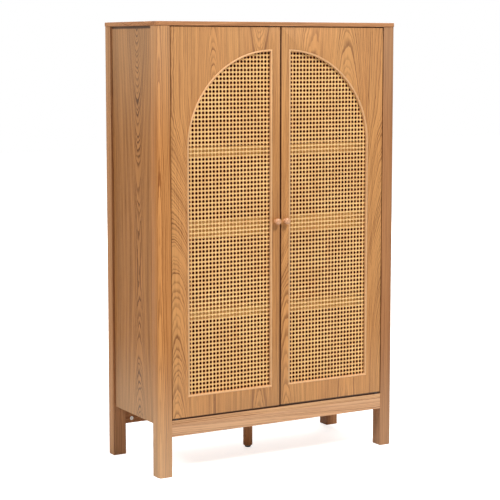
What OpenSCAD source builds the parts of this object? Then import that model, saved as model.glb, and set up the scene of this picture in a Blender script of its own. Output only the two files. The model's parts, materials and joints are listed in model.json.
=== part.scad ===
// Tall shoe cabinet: four posts, a veneered carcass and two cane doors with quarter-round tops.
// Millimetres, +Z up. The origin is on the floor, under the middle of the outline.
// The doors face -Y. Right-hand pieces are drawn, and left-hand ones are their mirror images.

/* [Overall] */
// Clear width between the posts
clear_w = 780; // [640:1:960]
// Depth over the posts
body_d = 372; // [300:1:460]
// Height over the top board
total_h = 1400; // [1150:1:1700]
// Height of the bottom board's underside
leg_h = 162; // [130:1:220]

/* [Posts and panels] */
// Width of a square post
post_w = 44; // [38:1:56]
// Radius of a post's outer corner
corner_r = 12; // [6:1:32]
// Thickness of a side panel
panel_t = 15; // [14:0.5:20]
// Step from a post's outer face back to the side panel
panel_set = 8; // [2:0.5:10]
// Thickness of the top board
top_t = 13; // [12:0.5:25]
// Overhang of the top board past the posts
top_over = 1.5; // [0.5:0.5:12]
// Thickness of the bottom board
board_t = 16; // [15:0.5:22]
// Step from the posts' front to the bottom board and apron
front_set = 1.5; // [0:0.5:6]
// Height of the front apron
apron_h = 36; // [36:1:70]
// Height of the rear rail
rail_h = 64; // [48:1:100]
// Height of the upper rear rail
upper_rail_h = 60; // [48:1:100]
// Thickness of the apron and the rails
rail_t = 18; // [16:0.5:22]
// Thickness of the centre divider
divider_t = 15; // [15:0.5:20]
// Thickness of the back panel
back_t = 5; // [3:0.5:8]
// Step from the posts' rear to the back panel
back_set = 8; // [4:0.5:12]
// Depth of the back panel's grooves in the posts
groove_d = 6; // [4:0.5:8]
// How far the back panel covers the rear rail
back_lap = 30; // [15:1:40]
// Clearance of the back panel in its grooves
groove_fit = 0.2; // [0.1:0.05:0.5]
// Width of the flat along softened edges
arris = 0.8; // [0.3:0.1:1.5]

/* [Doors] */
// Thickness of a door
door_t = 18; // [16:0.5:22]
// Step from the posts' front to the doors
door_set = 1.5; // [0:0.5:5]
// Gap between a door and its post
side_gap = 2.5; // [2.5:0.1:5]
// Gap between the two doors
mid_gap = 3.5; // [2:0.1:6]
// Gap over the doors
top_gap = 2.5; // [1.5:0.1:5]
// Gap under the doors
foot_gap = 3; // [2:0.1:5]
// Width of the stile beside the other door
inner_stile = 28.5; // [27:0.5:60]
// Width of the stile beside the post
outer_stile = 55; // [40:0.5:80]
// Height of a door's bottom rail
bottom_rail = 64; // [45:1:110]
// Height of a door above the highest point of its opening
top_rail = 69; // [60:1:110]
// Width of the bead around the opening
bead_w = 6; // [4:0.5:10]
// Depth of the bead into the door
bead_d = 7; // [4:0.5:9]
// How far the bead stands out of the door
bead_out = 1; // [0:0.1:2]
// Clearance around the bead, the cane and the retaining frame
bead_fit = 0.15; // [0.05:0.05:0.3]
// Thickness of the cane webbing
cane_t = 2; // [1.5:0.1:3]
// How far the cane reaches behind the door's edge
cane_lap = 7; // [4:0.5:9]
// How far the retaining frame shows inside the opening
frame_in = 4; // [1:0.5:6]

/* [Pivots] */
// Distance from a door's outer edge to its pivot
pivot_in = 15; // [13:0.5:20]
// Distance from a door's front to its pivot
pivot_back = 7; // [6.5:0.5:9]
// Diameter of a pivot pin
pin_d = 6; // [5:0.5:7]
// Radial clearance of a pin in its bush or hole
pin_fit = 0.05; // [0.02:0.01:0.1]
// Length of a bush in the door's edge
bush_len = 18; // [12:1:25]
// Wall of a bush
bush_wall = 1.5; // [1:0.25:2]
// Depth of a pin in the bottom board
pin_seat = 12; // [8:0.5:13]
// Depth of a pin in the top board
top_pin_seat = 8; // [6:0.5:10]
// Outer diameter of a thrust washer
washer_d = 14; // [12:0.5:16]
// Running gap between a thrust washer and its door
washer_gap = 0.1; // [0.05:0.05:0.3]

/* [Knobs and catches] */
// Height of the knobs above the floor
knob_z = 776; // [700:1:850]
// Distance from a door's inner edge to its knob's axis
knob_in = 15.25; // [14:0.25:16]
// Diameter of a knob
knob_d = 21; // [16:0.5:26]
// Length of a knob out of the door
knob_len = 22; // [20:0.5:32]
// Diameter of a knob's neck
neck_d = 11; // [9:0.5:14]
// Diameter of a knob's screw
knob_screw_d = 4; // [3:0.5:5]
// Radial clearance of screws, dowels, bushes and shelf pins
screw_fit = 0.05; // [0.02:0.01:0.1]
// Width of a magnetic catch
catch_w = 46; // [36:1:56]
// Depth and height of a magnetic catch
catch_h = 14; // [12:0.5:18]
// Distance from the cabinet's middle to a catch's middle
catch_x = 40; // [34:1:60]
// Thickness of a strike plate
plate_t = 1; // [0.8:0.1:1.5]
// Gap between a strike plate and its catch
catch_gap = 0.3; // [0.1:0.1:1]
// Thickness of the bumpers on the divider
bumper_t = 1.5; // [1:0.1:2.5]

/* [Shelves] */
// Thickness of a shelf
shelf_t = 16; // [12:0.5:22]
// Height of the lowest shelf's middle above the floor
shelf_z = 490; // [440:1:520]
// Step from one shelf to the next
shelf_step = 253; // [200:1:270]
// Depth of the rail along the front of each shelf
shelf_rail_t = 16; // [12:0.5:20]
// How far each rail stands above its shelf, from the lowest shelf up
shelf_rail_up = [7, 34, 11];
// How far each rail hangs below its shelf
shelf_rail_down = [8, 5, 4];
// Gap at each end of a shelf
shelf_gap = 1.5; // [1.2:0.1:3]
// Gap between a shelf and the posts or the back panel
shelf_clear = 2; // [1:0.5:6]
// Diameter of a shelf pin
peg_d = 5; // [4:0.5:6]
// Depth of a shelf pin in its hole
peg_in = 6.5; // [5:0.25:6.75]
// Length of a shelf pin under the shelf
peg_out = 9; // [6:0.5:12]
// Spacing of the shelf pin holes
peg_pitch = 32; // [24:1:40]

/* [Joints] */
// Diameter of a cam
cam_d = 12; // [10:0.5:15]
// Depth of a cam
cam_h = 11; // [10:0.5:12]
// Distance from a board's end to its cam
cam_in = 27; // [20:0.5:34]
// Depth of a cam's bolt below the board's face
cam_axis = 7.5; // [7:0.25:8]
// Diameter of a cam bolt
bolt_d = 6; // [5:0.5:6.5]
// Depth of a cam bolt in the piece it holds to
bolt_in = 9; // [7:0.5:10]
// Height of a rail's cam above the rail's lower edge
cam_rise = 15; // [12:0.5:16]
// Diameter of a dowel
dowel_d = 8; // [6:0.5:8]
// Length of a dowel
dowel_len = 30; // [24:1:40]

/* [Centre leg] */
// Distance from the posts' front to the centre leg's axis
foot_y = 208; // [150:1:250]
// Diameter of the centre leg
foot_d = 31; // [30:0.5:50]
// Height of the glide that shows under the leg
glide_show = 7; // [4:0.5:12]
// Diameter of the glide
glide_d = 21; // [18:0.5:22]
// Height of the glide's pad
glide_h = 10; // [8:0.5:14]
// Travel of the glide up into the leg
glide_travel = 6; // [3:0.5:8]
// Diameter of the glide's stem and the leg's bolt
stem_d = 8; // [6:0.5:8]
// Side of the leg's square plate
leg_plate_w = 60; // [56:1:80]
// Thickness of the leg's plate
leg_plate_t = 2; // [1.5:0.1:3]

/* [Hidden] */
$fn = 64;

oak = "#cf9b64";
pale_oak = "#deb07c";
cane = "#dcb26c";
steel = "#b9bcc0";
black = "#1b1b1b";
white = "#e9e9e6";

tiny = 0.01;
// Planes across the width, right-hand side
post_x = clear_w / 2;
side_x = post_x + post_w;
panel_x1 = side_x - panel_set;
panel_x0 = panel_x1 - panel_t;
// Planes through the depth, from the posts' front
back_y1 = body_d - back_set;
back_y0 = back_y1 - back_t;
rear_post_y = body_d - post_w;
rail_y = back_y0 - rail_t;
door_y1 = door_set + door_t;
divider_y = door_y1 + bumper_t;
// Heights
under_top = total_h - top_t;
board_z = leg_h + board_t;
apron_z = leg_h - apron_h;
rail_z = leg_h - rail_h;
upper_rail_z = under_top - upper_rail_h;
back_z = leg_h - back_lap;
panel_h = under_top - leg_h;
// The right door and its opening
door_x0 = mid_gap / 2;
door_x1 = post_x - side_gap;
door_z0 = board_z + foot_gap;
door_z1 = under_top - top_gap;
open_x = door_x0 + inner_stile;
open_w = door_x1 - outer_stile - open_x;
open_z = door_z0 + bottom_rail;
spring_z = door_z1 - top_rail - open_w;
pivot_x = door_x1 - pivot_in;
pivot_y = door_set + pivot_back;
bush_r = pin_d / 2 + pin_fit + bush_wall;
// The outline's middle in depth, from the knobs' tips to the top board's rear edge
knob_reach = knob_len - door_set;
middle_y = (body_d + top_over - knob_reach) / 2;
// Shelf pins stand at these depths, with holes a step above and below each shelf
peg_ys = [post_w + 40, rear_post_y - 40];
peg_steps = [-1, 0, 1];
peg_drop = shelf_t / 2 + peg_d / 2 + 0.1;
// Spots along the depth for cams, and up the height for dowels
cam_ys = [post_w + 30, rear_post_y - 30];
dowel_zs = [for (k = [0 : 3]) leg_h + 60 + k * (panel_h - 120) / 3];
divider_dowel_ys = [divider_y + 60, rail_y - 60];
rail_dowel_drop = 9;
small_screw_d = 3;
head_t = 1.5;
catch_screw_xs = [catch_x - catch_w / 2 + 6, catch_x + catch_w / 2 - 6];
strike_w = 40;
strike_h = 15;
strike_z = door_z1 - strike_h - 1;
strike_screw_xs = [catch_x - 13, catch_x + 13];
insert_wall = 2;
insert_len = 25;
foot_pocket = glide_h - glide_show + glide_travel + 1;
stem_len = insert_len + 5;
leg_screw_at = leg_plate_w / 2 - 7;

// Moves what is drawn from the posts' front plane to the frame's origin
module placed() {
    translate([0, -middle_y, 0]) children();
}

// Draws the children and their mirror image
module both_sides() {
    children();
    mirror([1, 0, 0]) children();
}

// Puts local x along u and local z along w, with the origin at p
module turned_to(p, u, w) {
    v = cross(w, u);
    multmatrix([
        [u.x, v.x, w.x, p.x],
        [u.y, v.y, w.y, p.y],
        [u.z, v.z, w.z, p.z],
        [0, 0, 0, 1]
    ]) children();
}

// A box between two corners
module block(low, high) {
    translate(low) cube(high - low);
}

// A rod along x, from x0 to x1
module rod_x(r, x0, x1) {
    translate([x0, 0, 0]) rotate([0, 90, 0]) cylinder(r = r, h = x1 - x0);
}

// A rod along y, from y0 to y1
module rod_y(r, y0, y1) {
    translate([0, y1, 0]) rotate([90, 0, 0]) cylinder(r = r, h = y1 - y0);
}

// A prism to cut from a front edge that runs along x, so that it gets a flat
module front_edge_cut(x0, x1, y, z) {
    side = arris * sqrt(2);
    translate([x0, y, z]) rotate([45, 0, 0]) translate([0, -side / 2, -side / 2])
        cube([x1 - x0, side, side]);
}

// A prism to cut from an upright edge
module upright_edge_cut(x, y, z0, z1) {
    side = arris * sqrt(2);
    translate([x, y, z0]) rotate([0, 0, 45]) translate([-side / 2, -side / 2, 0])
        cube([side, side, z1 - z0]);
}

// Where the right-hand cams stand: middle of the joint, way into the board, way out of its face
cam_spots = [
    [[post_x, rail_y, rail_z + cam_rise], [-1, 0, 0], [0, -1, 0]],
    [[post_x, rail_y, upper_rail_z + cam_rise], [-1, 0, 0], [0, -1, 0]],
    [[post_x, front_set + rail_t, apron_z + cam_rise], [-1, 0, 0], [0, 1, 0]],
    for (y = cam_ys) [[panel_x0, y, leg_h], [-1, 0, 0], [0, 0, -1]],
    for (y = cam_ys) [[panel_x0, y, under_top], [0, 0, -1], [-1, 0, 0]]
];

// Where the right-hand dowels stand: middle of the joint, way along the dowel, its share past the joint
cross_rail_y = rail_y + rail_t / 2;
panel_mid_x = (panel_x0 + panel_x1) / 2;
post_mid_x = post_x + post_w / 2;
shallow = top_pin_seat / dowel_len;
dowel_spots = [
    for (z = dowel_zs) [[panel_mid_x, post_w, z], [0, 1, 0], 0.5],
    for (z = dowel_zs) [[panel_mid_x, rear_post_y, z], [0, 1, 0], 0.5],
    [[post_x, front_set + rail_t / 2, leg_h - rail_dowel_drop], [1, 0, 0], 0.5],
    [[post_x, cross_rail_y, leg_h - rail_dowel_drop], [1, 0, 0], 0.5],
    [[post_x, cross_rail_y, under_top - rail_dowel_drop - 8], [1, 0, 0], 0.5],
    [[post_mid_x, post_w / 2, under_top], [0, 0, 1], shallow],
    [[post_mid_x, body_d - post_w / 2, under_top], [0, 0, 1], shallow]
];
// Dowels on the middle plane, in the divider's ends
middle_dowel_spots = [
    for (y = divider_dowel_ys) [[0, y, under_top], [0, 0, 1], shallow],
    for (y = divider_dowel_ys) [[0, y, board_z], [0, 0, -1], shallow]
];

// One dowel, or the hole for it when grow is more than nothing
module dowel(spot, grow) {
    side = cross(spot[1], [spot[1].y, spot[1].z, spot[1].x]);
    past = dowel_len * spot[2];
    turned_to(spot[0], spot[1], side) rod_x(dowel_d / 2 + grow, past - dowel_len, past);
}

module dowel_holes() {
    both_sides() for (spot = dowel_spots) dowel(spot, screw_fit);
    for (spot = middle_dowel_spots) dowel(spot, screw_fit);
}

// The pocket for a cam and the hole for its bolt, in the board that holds the cam
module cam_pockets() {
    both_sides() for (spot = cam_spots) turned_to(spot[0], spot[1], spot[2]) {
        translate([cam_in, 0, -cam_h]) cylinder(r = cam_d / 2 + screw_fit, h = cam_h + 1);
        translate([0, 0, -cam_axis]) rod_x(bolt_d / 2 + screw_fit, -1, cam_in);
    }
}

// The hole for a cam bolt in the piece that it is screwed into
module bolt_holes() {
    both_sides() for (spot = cam_spots) turned_to(spot[0], spot[1], spot[2])
        translate([0, 0, -cam_axis]) rod_x(bolt_d / 2 + screw_fit, -bolt_in, 1);
}

// A post in plan, with x outwards from its inner face and y away from its outer corner
module post_plan() {
    difference() {
        square([post_w, post_w]);
        translate([post_w - corner_r, -tiny]) square([corner_r + tiny, corner_r + tiny]);
        rotate(45) square(arris * sqrt(2), center = true);
        translate([0, post_w]) rotate(45) square(arris * sqrt(2), center = true);
        translate([post_w, post_w]) rotate(45) square(arris * sqrt(2), center = true);
    }
    intersection() {
        translate([post_w - corner_r, corner_r]) circle(r = corner_r);
        translate([post_w - corner_r - tiny, 0]) square([corner_r + tiny, corner_r + tiny]);
    }
}

module front_right_post_shape() {
    difference() {
        translate([post_x, 0, 0]) linear_extrude(under_top) post_plan();
        dowel_holes();
        bolt_holes();
    }
}

module rear_right_post_shape() {
    difference() {
        translate([post_x, body_d, 0]) mirror([0, 1, 0]) linear_extrude(under_top) post_plan();
        block([post_x - 1, back_y0 - groove_fit, back_z - groove_fit],
            [post_x + groove_d, back_y1 + groove_fit, under_top + 1]);
        dowel_holes();
        bolt_holes();
    }
}

// Holes for the shelf pins in a wall whose face is at x, drilled towards way
module peg_holes(x, way) {
    for (level = [0 : 2], y = peg_ys, step = peg_steps)
        translate([x, y, shelf_z + level * shelf_step - peg_drop + step * peg_pitch])
            rotate([0, way * 90, 0]) cylinder(r = peg_d / 2 + screw_fit, h = 2 * peg_in, center = true);
}

module right_side_panel_shape() {
    difference() {
        block([panel_x0, post_w, leg_h], [panel_x1, rear_post_y, under_top]);
        peg_holes(panel_x0, 1);
        dowel_holes();
        cam_pockets();
        bolt_holes();
    }
}

// The right door's opening, grown by g all round: a rectangle under a quarter circle
module arch_outline(g) {
    translate([open_x - g, open_z - g]) square([open_w + 2 * g, spring_z - open_z + g]);
    intersection() {
        translate([open_x, spring_z]) circle(r = open_w + g, $fn = 180);
        translate([open_x + max(0, -g), spring_z - 1]) square([open_w + g + 1, open_w + g + 2]);
    }
    if (g > 0) translate([open_x - g, spring_z - 1]) square([g + tiny, open_w + g + 1]);
}

// The opening's shape as a solid from y0 to y1
module arch(g, y0, y1) {
    translate([0, y1, 0]) rotate([90, 0, 0]) linear_extrude(y1 - y0) arch_outline(g);
}

module door_panel_shape() {
    lap_y = door_set + bead_d;
    difference() {
        block([door_x0, door_set, door_z0], [door_x1, door_y1, door_z1]);
        arch(0, door_set - 1, lap_y + 1);
        arch(cane_lap, lap_y, door_y1 + 1);
        for (z = [door_z0, door_z1]) front_edge_cut(door_x0 - 1, door_x1 + 1, door_set, z);
        for (x = [door_x0, door_x1]) upright_edge_cut(x, door_set, door_z0 - 1, door_z1 + 1);
        translate([pivot_x, pivot_y, 0]) {
            translate([0, 0, door_z0 - 1]) cylinder(r = bush_r + screw_fit, h = bush_len + 1);
            translate([0, 0, door_z1 - bush_len]) cylinder(r = bush_r + screw_fit, h = bush_len + 1);
        }
        translate([door_x0 + knob_in, 0, knob_z])
            rod_y(knob_screw_d / 2 + screw_fit, door_set - 1, door_y1 + 1);
        for (x = strike_screw_xs) translate([x, 0, strike_z + strike_h / 2])
            rod_y(small_screw_d / 2 + screw_fit, door_y1 - 10, door_y1 + 1);
    }
}

module door_bead_shape() {
    front_y = door_set - bead_out;
    difference() {
        arch(-bead_fit, front_y, door_set + bead_d);
        arch(-bead_w, front_y - 1, door_set + bead_d + 1);
    }
}

module door_cane_shape() {
    arch(cane_lap - bead_fit, door_set + bead_d, door_set + bead_d + cane_t);
}

module door_frame_shape() {
    front_y = door_set + bead_d + cane_t;
    difference() {
        arch(cane_lap - bead_fit, front_y, door_y1);
        arch(-frame_in, front_y - 1, door_y1 + 1);
    }
}

// A knob in section, with x as its radius and y out of the door
module knob_section() {
    edge_r = 4.5;
    dome_r = knob_d;
    rim_y = knob_len - edge_r - 1;
    square([neck_d / 2, rim_y]);
    translate([0, rim_y - edge_r]) square([knob_d / 2 - edge_r, 2 * edge_r]);
    intersection() {
        translate([knob_d / 2 - edge_r, rim_y]) circle(r = edge_r);
        translate([0, rim_y - edge_r]) square([knob_d / 2, 2 * edge_r]);
    }
    intersection() {
        translate([0, knob_len - dome_r]) circle(r = dome_r);
        translate([0, rim_y]) square([knob_d / 2 - edge_r, edge_r + 1]);
    }
}

module knob_shape() {
    turned_to([door_x0 + knob_in, door_set, knob_z], [1, 0, 0], [0, -1, 0]) difference() {
        rotate_extrude() knob_section();
        translate([0, 0, -1]) cylinder(r = knob_screw_d / 2 + screw_fit, h = 15);
    }
}

module knob_screw_shape() {
    translate([door_x0 + knob_in, 0, knob_z]) {
        rod_y(knob_screw_d / 2, door_set - 12, door_y1);
        rod_y(knob_screw_d, door_y1, door_y1 + knob_screw_d / 2);
    }
}

module strike_plate_shape() {
    difference() {
        block([catch_x - strike_w / 2, door_y1, strike_z],
            [catch_x + strike_w / 2, door_y1 + plate_t, strike_z + strike_h]);
        for (x = strike_screw_xs) translate([x, 0, strike_z + strike_h / 2])
            rod_y(small_screw_d + screw_fit, door_y1 - 1, door_y1 + plate_t + 1);
    }
}

module strike_screws_shape() {
    for (x = strike_screw_xs) translate([x, 0, strike_z + strike_h / 2]) {
        rod_y(small_screw_d / 2, door_y1 - 10, door_y1);
        rod_y(small_screw_d, door_y1, door_y1 + plate_t);
    }
}

module pivot_bushes_shape() {
    for (z = [door_z0, door_z1 - bush_len]) translate([pivot_x, pivot_y, z]) difference() {
        cylinder(r = bush_r, h = bush_len);
        translate([0, 0, -1]) cylinder(r = pin_d / 2 + pin_fit, h = bush_len + 2);
    }
}

module shelf_outline() {
    inner_x = divider_t / 2 + shelf_gap;
    difference() {
        translate([inner_x, post_w + shelf_clear + shelf_rail_t])
            square([panel_x0 - shelf_gap - inner_x,
                    back_y0 - post_w - 2 * shelf_clear - shelf_rail_t]);
        translate([post_x - shelf_clear, rear_post_y - shelf_clear]) square([post_w, post_w]);
    }
}

module shelf_shape(level) {
    translate([0, 0, shelf_z + level * shelf_step - shelf_t / 2]) linear_extrude(shelf_t)
        shelf_outline();
}

module top_board() {
    r = corner_r + top_over;
    x1 = side_x + top_over - r;
    y0 = r - top_over;
    y1 = body_d + top_over - r;
    color(oak) placed() difference() {
        translate([0, 0, under_top]) linear_extrude(top_t) {
            translate([-x1 - r, y0]) square([2 * (x1 + r), y1 - y0]);
            translate([-x1, -top_over]) square([2 * x1, body_d + 2 * top_over]);
            for (x = [-x1, x1], y = [y0, y1]) translate([x, y]) circle(r = r);
        }
        dowel_holes();
        bolt_holes();
        both_sides() translate([pivot_x, pivot_y, under_top - 1])
            cylinder(r = pin_d / 2 + pin_fit, h = top_pin_seat + 1);
        both_sides() for (x = catch_screw_xs)
            translate([x, door_y1 + plate_t + catch_gap + catch_h / 2, under_top - 1])
                cylinder(r = small_screw_d / 2 + screw_fit, h = top_pin_seat + 1);
    }
}

module front_left_post() { color(oak) placed() mirror([1, 0, 0]) front_right_post_shape(); }
module front_right_post() { color(oak) placed() front_right_post_shape(); }
module rear_left_post() { color(oak) placed() mirror([1, 0, 0]) rear_right_post_shape(); }
module rear_right_post() { color(oak) placed() rear_right_post_shape(); }
module left_side_panel() { color(oak) placed() mirror([1, 0, 0]) right_side_panel_shape(); }
module right_side_panel() { color(oak) placed() right_side_panel_shape(); }

// Where the back panel's screws go: across both rear rails and up the divider
back_screw_spots = [
    for (k = [-2 : 2]) [k * clear_w / 5, leg_h - back_lap / 2],
    for (k = [-2 : 2]) [k * clear_w / 5, under_top - upper_rail_h / 2],
    for (k = [1 : 4]) [0, board_z + k * (upper_rail_z - board_z) / 5]
];

// The back panel's screws, or the holes for them when grow is more than nothing
module back_screw_shanks(grow) {
    for (spot = back_screw_spots) translate([spot.x, 0, spot.y])
        rod_y(small_screw_d / 2 + grow, back_y0 - 11, back_y1);
}

module back_panel() {
    x1 = post_x + groove_d - groove_fit;
    color(pale_oak) placed() difference() {
        block([-x1, back_y0, back_z], [x1, back_y1, under_top]);
        back_screw_shanks(screw_fit);
    }
}

module bottom_board() {
    color(oak) placed() difference() {
        translate([0, 0, leg_h]) linear_extrude(board_t) {
            translate([-post_x, front_set]) square([clear_w, back_y0 - front_set]);
            translate([-panel_x0, post_w]) square([2 * panel_x0, rear_post_y - post_w]);
        }
        for (z = [leg_h, board_z]) front_edge_cut(-post_x - 1, post_x + 1, front_set, z);
        dowel_holes();
        cam_pockets();
        both_sides() translate([pivot_x, pivot_y, board_z - pin_seat])
            cylinder(r = pin_d / 2 + pin_fit, h = pin_seat + 1);
        translate([0, foot_y, leg_h - 1]) cylinder(r = stem_d / 2 + screw_fit, h = 10);
        for (x = [-1, 1], y = [-1, 1])
            translate([x * leg_screw_at, foot_y + y * leg_screw_at, leg_h - 1])
                cylinder(r = small_screw_d / 2 + screw_fit, h = 12);
    }
}

module centre_divider() {
    x1 = divider_t / 2;
    color(oak) placed() difference() {
        block([-x1, divider_y, board_z], [x1, back_y0, under_top]);
        block([-x1 - 1, rail_y - groove_fit, upper_rail_z - groove_fit],
            [x1 + 1, back_y0 + 1, under_top + 1]);
        peg_holes(x1, 1);
        peg_holes(-x1, 1);
        dowel_holes();
        back_screw_shanks(screw_fit);
    }
}

module front_apron() {
    color(oak) placed() difference() {
        block([-post_x, front_set, apron_z], [post_x, front_set + rail_t, leg_h]);
        for (z = [apron_z, leg_h]) front_edge_cut(-post_x - 1, post_x + 1, front_set, z);
        dowel_holes();
        cam_pockets();
    }
}

module rear_rail() {
    color(oak) placed() difference() {
        block([-post_x, rail_y, rail_z], [post_x, back_y0, leg_h]);
        dowel_holes();
        cam_pockets();
        back_screw_shanks(screw_fit);
    }
}

module upper_rear_rail() {
    color(oak) placed() difference() {
        block([-post_x, rail_y, upper_rail_z], [post_x, back_y0, under_top]);
        dowel_holes();
        cam_pockets();
        back_screw_shanks(screw_fit);
    }
}

module left_shelf_low() { color(oak) placed() mirror([1, 0, 0]) shelf_shape(0); }
module left_shelf_middle() { color(oak) placed() mirror([1, 0, 0]) shelf_shape(1); }
module left_shelf_high() { color(oak) placed() mirror([1, 0, 0]) shelf_shape(2); }
module right_shelf_low() { color(oak) placed() shelf_shape(0); }
module right_shelf_middle() { color(oak) placed() shelf_shape(1); }
module right_shelf_high() { color(oak) placed() shelf_shape(2); }

// The rails glued to the front edges of the shelves
module shelf_rails() {
    inner_x = divider_t / 2 + shelf_gap;
    color(pale_oak) placed() both_sides() for (level = [0 : 2])
        translate([inner_x, post_w + shelf_clear,
                   shelf_z + level * shelf_step - shelf_t / 2 - shelf_rail_down[level]])
            cube([panel_x0 - shelf_gap - inner_x, shelf_rail_t,
                  shelf_rail_down[level] + shelf_t + shelf_rail_up[level]]);
}

// One shelf pin, in a wall whose face is at x, with its free end towards way
module shelf_pin(x, way, y, z) {
    turned_to([x, y, z], [way, 0, 0], [0, 0, 1]) {
        rod_x(peg_d / 2, -peg_in + 0.2, peg_out);
        rod_x(peg_d / 2 + 1.2, 0, 0.8);
    }
}

module shelf_pins() {
    color(steel) placed() both_sides() for (level = [0 : 2], y = peg_ys) {
        z = shelf_z + level * shelf_step - peg_drop;
        shelf_pin(panel_x0, -1, y, z);
        shelf_pin(divider_t / 2, 1, y, z);
    }
}

module left_door_panel() { color(oak) placed() mirror([1, 0, 0]) door_panel_shape(); }
module left_door_bead() { color(pale_oak) placed() mirror([1, 0, 0]) door_bead_shape(); }
module left_door_cane() { color(cane) placed() mirror([1, 0, 0]) door_cane_shape(); }
module left_door_frame() { color(oak) placed() mirror([1, 0, 0]) door_frame_shape(); }
module left_knob() { color(pale_oak) placed() mirror([1, 0, 0]) knob_shape(); }
module left_knob_screw() { color(steel) placed() mirror([1, 0, 0]) knob_screw_shape(); }
module left_strike_plate() { color(steel) placed() mirror([1, 0, 0]) strike_plate_shape(); }
module left_strike_screws() { color(steel) placed() mirror([1, 0, 0]) strike_screws_shape(); }
module left_pivot_bushes() { color(white) placed() mirror([1, 0, 0]) pivot_bushes_shape(); }
module right_door_panel() { color(oak) placed() door_panel_shape(); }
module right_door_bead() { color(pale_oak) placed() door_bead_shape(); }
module right_door_cane() { color(cane) placed() door_cane_shape(); }
module right_door_frame() { color(oak) placed() door_frame_shape(); }
module right_knob() { color(pale_oak) placed() knob_shape(); }
module right_knob_screw() { color(steel) placed() knob_screw_shape(); }
module right_strike_plate() { color(steel) placed() strike_plate_shape(); }
module right_strike_screws() { color(steel) placed() strike_screws_shape(); }
module right_pivot_bushes() { color(white) placed() pivot_bushes_shape(); }

module pivot_pins() {
    color(steel) placed() both_sides() translate([pivot_x, pivot_y, 0]) {
        translate([0, 0, board_z - pin_seat])
            cylinder(d = pin_d, h = pin_seat + foot_gap + bush_len - 2);
        translate([0, 0, door_z1 - bush_len + 2])
            cylinder(d = pin_d, h = bush_len - 2 + top_gap + top_pin_seat);
    }
}

module thrust_washers() {
    color(white) placed() both_sides() translate([pivot_x, pivot_y, board_z]) difference() {
        cylinder(d = washer_d, h = foot_gap - washer_gap);
        translate([0, 0, -1]) cylinder(r = pin_d / 2 + pin_fit, h = foot_gap + 2);
    }
}

module magnetic_catches() {
    y0 = door_y1 + plate_t + catch_gap;
    color(white) placed() both_sides() difference() {
        block([catch_x - catch_w / 2, y0, under_top - catch_h],
            [catch_x + catch_w / 2, y0 + catch_h, under_top]);
        for (x = catch_screw_xs) translate([x, y0 + catch_h / 2, under_top - catch_h - 1])
            cylinder(r = small_screw_d / 2 + screw_fit, h = catch_h + 2);
    }
}

module catch_screws() {
    y = door_y1 + plate_t + catch_gap + catch_h / 2;
    color(steel) placed() both_sides() for (x = catch_screw_xs) {
        translate([x, y, under_top - catch_h])
            cylinder(d = small_screw_d, h = catch_h + top_pin_seat - 1);
        translate([x, y, under_top - catch_h - head_t]) cylinder(r = small_screw_d, h = head_t);
    }
}

module door_bumpers() {
    r = divider_t / 2 / 3;
    color(white) placed() both_sides() for (z = [open_z, door_z1 - top_rail])
        translate([divider_t / 2 - r - 0.3, 0, z]) rod_y(r, door_y1 + 0.1, divider_y);
}

module cams() {
    color(steel) placed() both_sides() for (spot = cam_spots)
        turned_to(spot[0], spot[1], spot[2]) difference() {
            translate([cam_in, 0, -cam_h]) cylinder(d = cam_d, h = cam_h);
            translate([0, 0, -cam_axis]) rod_x(bolt_d / 2 + screw_fit, 0, cam_in);
            for (a = [0, 90]) translate([cam_in, 0, 0]) rotate([0, 0, a])
                cube([cam_d * 0.6, 1.4, 3], center = true);
        }
}

module cam_bolts() {
    color(steel) placed() both_sides() for (spot = cam_spots)
        turned_to(spot[0], spot[1], spot[2]) translate([0, 0, -cam_axis])
            rod_x(bolt_d / 2, -bolt_in, cam_in - 1);
}

module dowels() {
    color(pale_oak) placed() {
        both_sides() for (spot = dowel_spots) dowel(spot, 0);
        for (spot = middle_dowel_spots) dowel(spot, 0);
    }
}

module back_screws() {
    color(steel) placed() {
        back_screw_shanks(0);
        for (spot = back_screw_spots) translate([spot.x, 0, spot.y])
            rod_y(small_screw_d, back_y1, back_y1 + head_t);
    }
}

module centre_leg() {
    low = glide_show;
    high = leg_h - leg_plate_t;
    roof = low + foot_pocket;
    color(oak) placed() translate([0, foot_y, 0]) difference() {
        translate([0, 0, low]) rotate_extrude() polygon([
            [0, 0], [foot_d / 2 - 1.5, 0], [foot_d / 2, 1.5], [foot_d / 2, high - low], [0, high - low]
        ]);
        translate([0, 0, low - 1]) cylinder(r = glide_d / 2 + 0.5, h = foot_pocket + 1);
        translate([0, 0, roof - 1])
            cylinder(r = stem_d / 2 + pin_fit + insert_wall + screw_fit, h = insert_len + 1);
        translate([0, 0, roof]) cylinder(r = stem_d / 2 + 0.5, h = stem_len + glide_travel);
        translate([0, 0, high - 30]) cylinder(r = stem_d / 2 + screw_fit, h = 31);
    }
}

module leg_insert() {
    color(steel) placed() translate([0, foot_y, glide_show + foot_pocket]) difference() {
        cylinder(r = stem_d / 2 + pin_fit + insert_wall, h = insert_len);
        translate([0, 0, -1]) cylinder(r = stem_d / 2 + pin_fit, h = insert_len + 2);
    }
}

module glide() {
    color(black) placed() translate([0, foot_y, 0]) {
        rotate_extrude() polygon([
            [0, 0], [glide_d / 2 - 2, 0], [glide_d / 2, 2], [glide_d / 2, glide_h], [0, glide_h]
        ]);
        cylinder(d = stem_d, h = glide_show + foot_pocket + stem_len - 2);
    }
}

module leg_plate() {
    half = leg_plate_w / 2;
    color(steel) placed() translate([0, foot_y, leg_h - leg_plate_t]) difference() {
        block([-half, -half, 0], [half, half, leg_plate_t]);
        translate([0, 0, -1]) cylinder(r = stem_d / 2 + screw_fit, h = leg_plate_t + 2);
        for (x = [-leg_screw_at, leg_screw_at], y = [-leg_screw_at, leg_screw_at])
            translate([x, y, -1]) cylinder(r = small_screw_d / 2 + screw_fit, h = leg_plate_t + 2);
    }
}

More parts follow.
